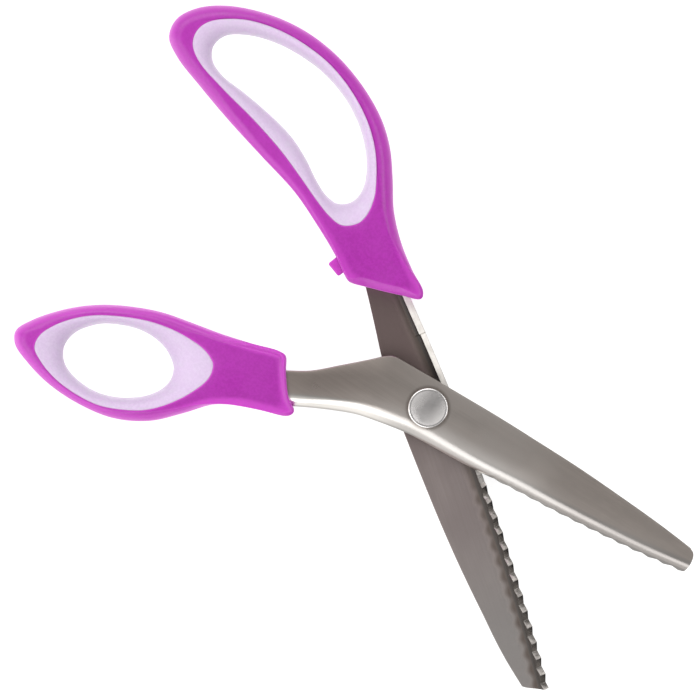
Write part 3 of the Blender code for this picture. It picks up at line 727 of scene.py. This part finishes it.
def screw_piece(matrix):
    """The pivot screw: a broad domed head with a fine turned rim, over a plain shank with a chamfered end."""
    base = BLADE_DEPTH + 2 * STACK_GAP + HEAD_WASHER
    rim = base + HEAD_HEIGHT - HEAD_DOME
    profile = [(0, -GRIP_HALF), (SCREW_RADIUS - 0.4, -GRIP_HALF), (SCREW_RADIUS, -GRIP_HALF + 0.4)]
    profile += [(SCREW_RADIUS, base), (HEAD_RADIUS - 0.15, base), (HEAD_RADIUS, base + 0.15)]
    rim_steps, dome_steps = 6, 14
    for k in range(rim_steps + 1):
        angle = math.pi / 2 * k / rim_steps
        inset, drop = HEAD_RIM * (1 - math.cos(angle)), HEAD_RIM * (1 - math.sin(angle))
        profile.append((HEAD_RADIUS - inset, rim - drop))
    dome_radius = HEAD_RADIUS - HEAD_STEP
    for k in range(dome_steps + 1):
        radius = dome_radius * (1 - k / dome_steps)
        profile.append((radius, rim + HEAD_DOME * (1 - (radius / dome_radius) ** 2) - DOME_SINK))
    return make_object("pivot_screw_turned", turned(profile), matrix, sharp=25)


def nut_piece(matrix):
    """A hexagon nut with turned chamfers on both faces."""
    low = -GRIP_HALF + NUT_SET_BACK
    high = -(BLADE_DEPTH + 2 * STACK_GAP + WAVE_WASHER + 2 * WAVE_LIFT)
    corner = NUT_FLATS / 2 / math.cos(math.pi / 6)
    angles = [math.pi / 3 * k for k in range(6)]
    hexagon = [[(corner * math.cos(a), corner * math.sin(a), z) for a in angles] for z in (low, high)]
    nut = make_object("pivot_nut_hex", skin(hexagon, closed=False), matrix, sharp=25)
    face, outside, past = NUT_FLATS / 2 - 0.1, corner + 0.2, 0.001
    lift = (outside - face) * math.tan(math.radians(30))
    cone = [(0, low - past), (face, low - past), (outside, low + lift), (outside, high - lift)]
    cone += [(face, high + past), (0, high + past)]
    cut_with(nut, "INTERSECT", make_object("nut_cone", turned(cone), matrix), sharp=20)
    bore = [(0, low - 0.01), (BUSH_BORE + 0.35, low - 0.01), (BUSH_BORE, low + 0.34)]
    bore += [(BUSH_BORE, high + 1), (0, high + 1)]
    cut_with(nut, "DIFFERENCE", make_object("nut_bore", turned(bore), matrix), sharp=20)
    return nut


def wave_washer_piece(matrix):
    """A spring washer whose ring rises and falls three times round."""
    middle = -(BLADE_DEPTH + STACK_GAP + WAVE_LIFT + WAVE_WASHER / 2)
    section = ring_profile(BUSH_BORE, WAVE_RADIUS, -WAVE_WASHER / 2, WAVE_WASHER / 2, 0.06)
    rings = []
    for k in range(ROUND_STEPS):
        angle = 2 * math.pi * k / ROUND_STEPS
        lift = middle + WAVE_LIFT * math.cos(3 * angle)
        rings.append([(r * math.cos(angle), r * math.sin(angle), lift + z) for r, z in section])
    return make_object("wave_spring_washer_ring", skin(rings, closed=True), matrix)


def washer_piece(node, inner, outer):
    """A turned ring between the heights that its CAD node has."""
    low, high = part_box(node)
    z_low, z_high = ((z - PIVOT.z) / MM for z in (low.z, high.z))
    profile = ring_profile(inner, outer, z_low, z_high, WASHER_EDGE)
    return make_object(f"{node}_turned", turned(profile), Matrix.Translation(PIVOT))


# Materials


def feed(tree, socket, value):
    """Gives an input its value, which is a plain one or another node's output."""
    if isinstance(value, bpy.types.NodeSocket):
        tree.links.new(value, socket)
    else:
        socket.default_value = value


def add(tree, kind, inputs=None, **settings):
    """Adds a shader node with these inputs and settings."""
    made = tree.nodes.new(f"ShaderNode{kind}")
    for name, value in settings.items():
        setattr(made, name, value)
    for name, value in (inputs or {}).items():
        feed(tree, made.inputs[name], value)
    return made


def new_material(name, **values):
    """A material with a Principled shader whose sockets have these values."""
    material = bpy.data.materials.new(name)
    material.use_nodes = True
    shader = material.node_tree.nodes["Principled BSDF"]
    for socket, value in values.items():
        shader.inputs[socket.replace("_", " ")].default_value = value
    return material, material.node_tree, shader


def drawn_place(tree):
    """Where the point lies in its half's drawing, in metres."""
    return add(tree, "Attribute", attribute_name="drawn").outputs["Vector"]


def drawn_along(tree):
    """Distance from the pivot along the half, in metres, less than 0 on the side of the grip."""
    return add(tree, "SeparateXYZ", {"Vector": drawn_place(tree)}).outputs["X"]


def marked(tree, name):
    """The distance that mark_distance stored under this name, in millimetres."""
    return add(tree, "Attribute", attribute_name=name).outputs["Fac"]


def axis_distance(tree):
    """Distance from the pivot's axis, in metres."""
    place = add(tree, "SeparateXYZ", {"Vector": drawn_place(tree)}).outputs
    flat = add(tree, "CombineXYZ", {"X": place["X"], "Y": place["Y"]}).outputs["Vector"]
    return add(tree, "VectorMath", {0: flat}, operation="LENGTH").outputs["Value"]


def tooth_turns(tree):
    """Distance from the pivot's axis as an angle, with one turn to each tooth."""
    return math_node(tree, "MULTIPLY", axis_distance(tree), 2 * math.pi / (TOOTH_PITCH * MM))


def stretched_noise(tree, scale, detail=3.0, roughness=0.5):
    """Noise with its own scale along each of the drawing's axes, in features per metre."""
    mapping = add(tree, "Mapping", {"Vector": drawn_place(tree), "Scale": scale})
    inputs = {"Vector": mapping.outputs["Vector"], "Scale": 1.0, "Detail": detail, "Roughness": roughness}
    return add(tree, "TexNoise", inputs).outputs["Fac"]


def remap(tree, value, low, high, to_low=0.0, to_high=1.0):
    """The value carried smoothly from one range into another, and held at the ends."""
    inputs = {"Value": value, "From Min": low, "From Max": high, "To Min": to_low, "To Max": to_high}
    return add(tree, "MapRange", inputs, interpolation_type="SMOOTHSTEP").outputs["Result"]


def math_node(tree, operation, a, b=0.0):
    return add(tree, "Math", {0: a, 1: b}, operation=operation).outputs[0]


def mix_colour(tree, factor, a, b):
    made = add(tree, "Mix", data_type="RGBA")
    for name, value in (("Factor", factor), ("A", a), ("B", b)):
        feed(tree, next(s for s in made.inputs if s.name == name and s.enabled), value)
    return next(s for s in made.outputs if s.enabled)


def paint(tree, shader, colour, roughness):
    tree.links.new(colour, shader.inputs["Base Color"])
    tree.links.new(roughness, shader.inputs["Roughness"])


def bump(tree, shader, height, distance, strength):
    made = add(tree, "Bump", {"Height": height, "Distance": distance, "Strength": strength})
    tree.links.new(made.outputs["Normal"], shader.inputs["Normal"])


def plastic(name, colour, light, sheen, roughness, painted_rim_light=None):
    """Moulded plastic with a very fine eggshell grain and slight unevenness of colour and gloss.

    A rim colour, if given, is painted on the edges as a highlight, and a little on the slender loop as
    painted light.
    """
    material, tree, shader = new_material(
        name,
        Specular_IOR_Level=0.5,
        Sheen_Weight=0.6,
        Sheen_Roughness=0.45,
        Sheen_Tint=sheen,
        Subsurface_Weight=0.35,
        Subsurface_Radius=(1.0, 0.4, 1.0),
        Subsurface_Scale=0.0015,
    )
    grain = stretched_noise(tree, (2600, 2600, 2600), 2.0)
    cloud = stretched_noise(tree, (90, 90, 90), 4.0, 0.6)
    fleck = stretched_noise(tree, (1300, 1300, 1300), 3.0, 0.6)
    mottled = mix_colour(tree, remap(tree, fleck, 0.35, 0.65), colour, light)
    clouded = mix_colour(tree, remap(tree, cloud, 0.3, 0.7, 0.0, 0.35), mottled, light)
    if painted_rim_light:
        # Painted highlight: paler towards the outline and beside the liner; painted light: a little paler on
        # the slender loop.
        edge = remap(tree, marked(tree, "from_edge"), 1.4, 3.2, 0.6, 0.0)
        lip = remap(tree, marked(tree, "from_liner"), 0.2, 0.7, 0.7, 0.0)
        painted_loop_light = remap(tree, drawn_along(tree), -0.05, -0.085, 0.0, 0.22)
        painted_light_mask = math_node(tree, "MAXIMUM", math_node(tree, "MAXIMUM", edge, painted_loop_light), lip)
        clouded = mix_colour(tree, painted_light_mask, clouded, painted_rim_light)
    paint(tree, shader, clouded, remap(tree, cloud, 0.3, 0.7, roughness - 0.04, roughness + 0.06))
    bump(tree, shader, grain, 0.00002, 0.5)
    return material


def steel_noises(tree):
    """Brushing along the blade, finer scratches, and the uneven sheen of a hand-ground face."""
    brushed = stretched_noise(tree, (30, 1500, 1500), 4.0, 0.65)
    fine = stretched_noise(tree, (120, 5200, 5200), 2.0, 0.6)
    sheen = stretched_noise(tree, (42, 70, 70), 3.0, 0.55)
    return brushed, fine, sheen


def outer_steel():
    """The blade's outer face: satin, brushed lengthwise, with soft clouds of warmer and cooler grey.

    It is browner towards the tang, paler beside the screw, duller along the bend towards the tip, and
    polished on the shank's wall. A painted shadow lies in a ring round the screw's head.
    """
    material, tree, shader = new_material("satin_steel", Metallic=1.0)
    brushed, fine, sheen = steel_noises(tree)
    along, across = drawn_along(tree), marked(tree, "across")
    clouds = remap(tree, sheen, 0.4, 0.6)
    base = mix_colour(tree, clouds, (0.48, 0.425, 0.39, 1), (0.355, 0.315, 0.29, 1))
    streaked = mix_colour(tree, remap(tree, brushed, 0.35, 0.65, 0, 0.4), base, (0.36, 0.32, 0.29, 1))
    browner = mix_colour(tree, remap(tree, along, -0.045, 0.0, 0.5, 0.0), streaked, (0.33, 0.265, 0.24, 1))
    from_middle = math_node(tree, "ABSOLUTE", math_node(tree, "SUBTRACT", along, 0.014))
    middle = remap(tree, from_middle, 0.006, 0.042, 0.7, 0.1)
    by_bend = remap(tree, across, 3.5, 9.0, 1.0, 0.35)
    paler = mix_colour(tree, math_node(tree, "MULTIPLY", middle, by_bend), browner, (0.72, 0.69, 0.665, 1))
    duller = remap(tree, along, 0.03, 0.06)
    worn = mix_colour(tree, duller, (0.475, 0.46, 0.445, 1), (0.34, 0.325, 0.315, 1))
    bend = mix_colour(tree, remap(tree, across, 3.2, 4.6, 0.8, 0.0), paler, worn)
    low = remap(tree, across, 2.6, 3.8, 0.9, 0.0)
    wall = math_node(tree, "MULTIPLY", low, remap(tree, along, 0.0, -0.02))
    polished = mix_colour(tree, wall, bend, (0.97, 0.94, 0.90, 1))
    # Painted shadow: a dark ring round the screw's head, where the head shades the blade.
    painted_head_shadow = remap(tree, axis_distance(tree), HEAD_RADIUS * MM, (HEAD_RADIUS + 1.3) * MM, 0.6, 0.0)
    with_head_shadow = mix_colour(tree, painted_head_shadow, polished, (0.15, 0.12, 0.1, 1))
    paint(tree, shader, with_head_shadow, remap(tree, sheen, 0.25, 0.75, 0.27, 0.36))
    bump(tree, shader, fine, 0.000012, 0.6)
    return material


def inner_steel():
    """The blade's inner face: darker and redder, with dirt and painted shade in the bend, in scallops beside
    the teeth.

    It is darkest on the shank, and greyer towards the tip. Painted shade, near black, lies in the corner by
    the land.
    """
    material, tree, shader = new_material("inner_steel")
    brushed, fine, sheen = steel_noises(tree)
    along, across = drawn_along(tree), marked(tree, "across")
    # Dirt and painted shade in the hollow of the bend: dark brown and less metallic near the land, reaching
    # further in scallops at each tooth.
    toothed = remap(tree, along, (FIRST_TOOTH - 3) * MM, (FIRST_TOOTH + 2) * MM, 0.0, 0.45)
    scallop = math_node(tree, "MULTIPLY", math_node(tree, "COSINE", tooth_turns(tree)), toothed)
    wobble = math_node(tree, "MULTIPLY", math_node(tree, "SUBTRACT", sheen, 0.5), 1.2)
    bite = math_node(tree, "ADD", across, math_node(tree, "ADD", wobble, scallop))
    dirt_and_shade = remap(tree, bite, 3.2, 6.4, 0.97, 0.0)
    clouds = remap(tree, sheen, 0.3, 0.7)
    base = mix_colour(tree, clouds, (0.365, 0.315, 0.305, 1), (0.31, 0.265, 0.26, 1))
    streaked = mix_colour(tree, remap(tree, brushed, 0.35, 0.65, 0, 0.4), base, (0.28, 0.24, 0.23, 1))
    darker = mix_colour(tree, remap(tree, along, 0.03, -0.02), streaked, (0.195, 0.148, 0.143, 1))
    greyer = mix_colour(tree, remap(tree, along, 0.03, 0.08, 0.0, 0.8), darker, (0.33, 0.315, 0.305, 1))
    dirtied_and_shaded = mix_colour(tree, dirt_and_shade, greyer, (0.066, 0.048, 0.038, 1))
    # Painted shade: near black in the corner beside the land.
    scale = remap(tree, across, 2.7, 3.3, 0.7, 0.0)
    corner_shaded = mix_colour(tree, scale, dirtied_and_shaded, (0.03, 0.028, 0.026, 1))
    paint(tree, shader, corner_shaded, remap(tree, dirt_and_shade, 0.0, 1.0, 0.38, 0.62))
    tree.links.new(math_node(tree, "SUBTRACT", 1.0, dirt_and_shade), shader.inputs["Metallic"])
    bump(tree, shader, fine, 0.000015, 0.7)
    return material


def ground_steel():
    """The land, ground straight across: bright on the shank, duller on the teeth, with painted shade on one
    flank.
    """
    material, tree, shader = new_material("ground_steel", Metallic=1.0)
    marks = stretched_noise(tree, (1500, 400, 400), 3.0)
    patches = stretched_noise(tree, (300, 500, 500), 3.0, 0.6)
    mottle = remap(tree, patches, 0.3, 0.7)
    clean = mix_colour(tree, mottle, (0.84, 0.815, 0.78, 1), (0.70, 0.675, 0.64, 1))
    worn = mix_colour(tree, mottle, (0.72, 0.69, 0.66, 1), (0.44, 0.42, 0.40, 1))
    along = drawn_along(tree)
    toothed = remap(tree, along, 0.0, 0.025)
    cut = remap(tree, along, (FIRST_TOOTH - 1) * MM, FIRST_TOOTH * MM, 0.0, 0.9)
    # Painted shade: one flank of each tooth is darker, on the teeth only.
    painted_flank_shade = remap(tree, math_node(tree, "SINE", tooth_turns(tree)), -0.15, 0.15)
    with_flank_shade = mix_colour(tree, math_node(tree, "MULTIPLY", cut, painted_flank_shade), worn, (0.22, 0.205, 0.195, 1))
    grain = remap(tree, marks, 0.3, 0.7, -0.06, 0.06)
    matt = math_node(tree, "ADD", grain, remap(tree, toothed, 0.0, 1.0, 0.62, 0.30))
    paint(tree, shader, mix_colour(tree, toothed, clean, with_flank_shade), matt)
    bump(tree, shader, marks, 0.000008, 0.4)
    return material


def turned_metal(name, colour, dark, roughness):
    """Lathe-turned metal: fine rings round the axis, and soft wear."""
    material, tree, shader = new_material(name, Metallic=1.0)
    radius = math_node(tree, "MULTIPLY", axis_distance(tree), 9000.0)
    rings = add(tree, "TexNoise", {"W": radius, "Scale": 1.0}, noise_dimensions="1D")
    wear = stretched_noise(tree, (260, 260, 260), 4.0, 0.6)
    tone = mix_colour(tree, remap(tree, wear, 0.3, 0.7), colour, dark)
    paint(tree, shader, tone, remap(tree, wear, 0.25, 0.75, roughness - 0.05, roughness + 0.07))
    bump(tree, shader, rings.outputs["Fac"], 0.000003, 0.15)
    return material


def nylon():
    material, tree, shader = new_material("washer_nylon", Roughness=0.5)
    cloud = stretched_noise(tree, (500, 500, 500), 3.0)
    tone = mix_colour(tree, remap(tree, cloud, 0.3, 0.7), (0.78, 0.76, 0.7, 1), (0.68, 0.66, 0.6, 1))
    tree.links.new(tone, shader.inputs["Base Color"])
    bump(tree, shader, cloud, 0.00002, 0.4)
    return material


# Studio


def view_direction(right, up):
    """A direction on the table, given as it appears in the picture."""
    return Matrix.Rotation(math.radians(VIEW_ANGLE), 2) @ Vector((right, up))


def add_camera():
    camera = bpy.data.cameras.new("camera")
    camera.sensor_width = SENSOR
    camera.lens = SENSOR * (CAMERA_HEIGHT - PIVOT.z) / VIEW_WIDTH
    camera.clip_end = 20
    obj = bpy.data.objects.new("camera", camera)
    obj.location = (VIEW_CENTRE.x, VIEW_CENTRE.y, CAMERA_HEIGHT)
    obj.rotation_euler = (0, 0, math.radians(VIEW_ANGLE))
    bpy.context.scene.collection.objects.link(obj)
    bpy.context.scene.camera = obj


def add_softbox(name, right, up, elevation, size, power):
    """A large soft light, placed by its direction in the picture and its height in degrees."""
    light = bpy.data.lights.new(name, "AREA")
    light.shape = "RECTANGLE"
    light.size, light.size_y = size
    light.energy = power
    obj = bpy.data.objects.new(name, light)
    flat = view_direction(right, up).normalized() * math.cos(math.radians(elevation))
    direction = Vector((flat.x, flat.y, math.sin(math.radians(elevation))))
    centre = Vector((VIEW_CENTRE.x, VIEW_CENTRE.y, 0))
    obj.location = centre + direction * SOFTBOX_DISTANCE
    obj.rotation_euler = direction.to_track_quat("Z", "Y").to_euler()
    bpy.context.scene.collection.objects.link(obj)


def add_floor():
    """A plain white table top. The steel reflects the world's own white table instead of it."""
    bm = bmesh.new()
    corners = [(-1, -1), (1, -1), (1, 1), (-1, 1)]
    bm.faces.new([bm.verts.new((x * TABLE_HALF, y * TABLE_HALF, TABLE_HEIGHT)) for x, y in corners])
    mesh = bpy.data.meshes.new("table")
    bm.to_mesh(mesh)
    bm.free()
    floor = bpy.data.objects.new("table", mesh)
    bpy.context.scene.collection.objects.link(floor)
    white, pale = (1, 1, 1, 1), (0.35, 0.35, 0.35, 1)
    table_white = {"Base_Color": pale, "Emission_Color": white, "Emission_Strength": 0.85, "Roughness": 0.9}
    mesh.materials.append(new_material("table_white", **table_white)[0])
    floor.visible_glossy = False


def facing(tree, direction, right, up):
    """How far a direction of the world points towards one side of the studio, from 1 down to -1."""
    side = (*view_direction(right, up), 0)
    return add(tree, "VectorMath", {0: direction, 1: side}, operation="DOT_PRODUCT").outputs["Value"]


def add_world():
    """A studio that is dim overhead, with a white table below, three pale walls and a dark fourth one."""
    world = bpy.data.worlds.new("studio")
    bpy.context.scene.world = world
    world.use_nodes = True
    tree = world.node_tree
    direction = add(tree, "TexCoord").outputs["Generated"]
    height = add(tree, "SeparateXYZ", {"Vector": direction}).outputs["Z"]
    side = facing(tree, direction, -0.7, 0.7)
    front = facing(tree, direction, -0.7, -0.7)
    away = facing(tree, direction, 0.37, -0.93)
    near = remap(tree, side, 0.03, 0.4, 0.0, 0.6)
    raised = remap(tree, height, 0.45, 0.7)
    far = math_node(tree, "MULTIPLY", raised, remap(tree, side, -0.03, -0.4, 0.0, 0.65))
    level = remap(tree, math_node(tree, "ABSOLUTE", height), 0.75, 0.35)
    low_left = math_node(tree, "MULTIPLY", level, remap(tree, front, 0.35, 0.8, 0.0, 1.1))
    below = remap(tree, height, -0.35, -0.8, 0.0, 0.38)
    dark = math_node(tree, "MULTIPLY", level, remap(tree, away, 0.5, 0.8))
    dim = math_node(tree, "MULTIPLY", 0.21, math_node(tree, "SUBTRACT", 1.0, dark))
    walls = math_node(tree, "ADD", near, math_node(tree, "ADD", far, low_left))
    strength = math_node(tree, "ADD", dim, math_node(tree, "ADD", walls, below))
    background = tree.nodes["Background"]
    background.inputs["Color"].default_value = (1.0, 0.985, 0.97, 1)
    tree.links.new(strength, background.inputs["Strength"])


def build():
    """Every piece of the shears, on its body and with its material."""
    front = half_matrix(OPEN_ANGLE / 2, over=False)
    back = half_matrix(-OPEN_ANGLE / 2, over=True)
    level = Matrix.Translation(PIVOT)
    outside, inside, ground = outer_steel(), inner_steel(), ground_steel()
    pink = (1.0, 0.36, 0.95, 1)
    tones = ((0.29, 0.008, 0.275, 1), (0.345, 0.013, 0.335, 1), pink, 0.36)
    # Each grip's last colour is its painted highlight, on its edges and a little on its loop.
    thumb_purple = plastic("purple_plastic_thumb", *tones, (0.56, 0.06, 0.53, 1))
    finger_purple = plastic("purple_plastic_finger", *tones, (0.47, 0.04, 0.445, 1))
    stop_purple = plastic("stop_purple", (0.39, 0.014, 0.36, 1), (0.45, 0.024, 0.415, 1), pink, 0.42)
    lilac = plastic("lilac_liner", (0.535, 0.425, 0.595, 1), (0.58, 0.47, 0.64, 1), (1, 1, 1, 1), 0.5)
    bright = turned_metal("turned_steel", (0.86, 0.84, 0.835, 1), (0.74, 0.72, 0.715, 1), 0.24)
    bronze = turned_metal("bush_bronze", (0.6, 0.38, 0.16, 1), (0.48, 0.29, 0.12, 1), 0.32)
    white = nylon()

    front_steel = (FRONT_SHANK, FRONT_EDGE, FRONT_SPINE, FRONT_TIP, FRONT_BENDS)
    front_blade = blade_piece("front_blade_formed", front, *front_steel, 1)
    fit_piece(front_blade, "front_blade", "thumb_half", "blade_steel", outside, inside, ground)
    back_steel = (BACK_SHANK, BACK_EDGE, BACK_SPINE, BACK_TIP, BACK_BENDS)
    back_blade = blade_piece("back_blade_formed", back, *back_steel, -1)
    fit_piece(back_blade, "back_blade", "finger_half", "blade_steel", outside, inside, ground)

    thumb_grip = grip_piece("thumb_grip_moulding", front, THUMB_SPOKES, FRONT_SHANK, FRONT_BENDS)
    fit_piece(thumb_grip, "thumb_grip", "thumb_half", "purple_plastic", thumb_purple)
    finger_grip = grip_piece("finger_grip_moulding", back, FINGER_SPOKES, BACK_SHANK, BACK_BENDS)
    fit_piece(finger_grip, "finger_grip", "finger_half", "purple_plastic", finger_purple)
    thumb_liner = liner_piece("thumb_liner_moulding", front, THUMB_SPOKES)
    fit_piece(thumb_liner, "thumb_liner", "thumb_half", "lilac_rubber", lilac)
    finger_liner = liner_piece("finger_liner_moulding", back, FINGER_SPOKES)
    fit_piece(finger_liner, "finger_liner", "finger_half", "lilac_rubber", lilac)
    fit_piece(stop_piece(back), "closing_stop", "finger_half", "purple_rubber", stop_purple)

    fit_piece(screw_piece(level), "pivot_screw", "finger_half", "pivot_steel", bright)
    fit_piece(nut_piece(level), "pivot_nut", "finger_half", "pivot_steel", bright)
    fit_piece(wave_washer_piece(level), "wave_spring_washer", "finger_half", "pivot_steel", bright)
    for node, inner, outer, body, slot, material in (
        ("pivot_bush", BUSH_BORE, 3.5, "finger_half", "bronze", bronze),
        ("blade_spacer", WEB_HOLE, 5.6, "finger_half", "pivot_steel", bright),
        ("back_thrust_washer", WEB_HOLE, 5.0, "finger_half", "nylon", white),
        ("front_thrust_washer", WEB_HOLE, 5.0, "thumb_half", "nylon", white),
        ("head_washer", BUSH_BORE, 5.0, "thumb_half", "nylon", white),
    ):
        fit_piece(washer_piece(node, inner, outer), node, body, slot, material)


build()
add_floor()
add_world()
add_camera()
add_softbox("top_light", -0.3, 1.0, 42, (1.0, 0.5), 3.6)
add_softbox("low_left_light", -0.7, -0.7, 50, (1.1, 0.68), 4.4)
add_softbox("right_light", 1.0, 0.1, 42, (0.9, 0.5), 3.0)
bpy.context.scene.view_settings.view_transform = "Standard"
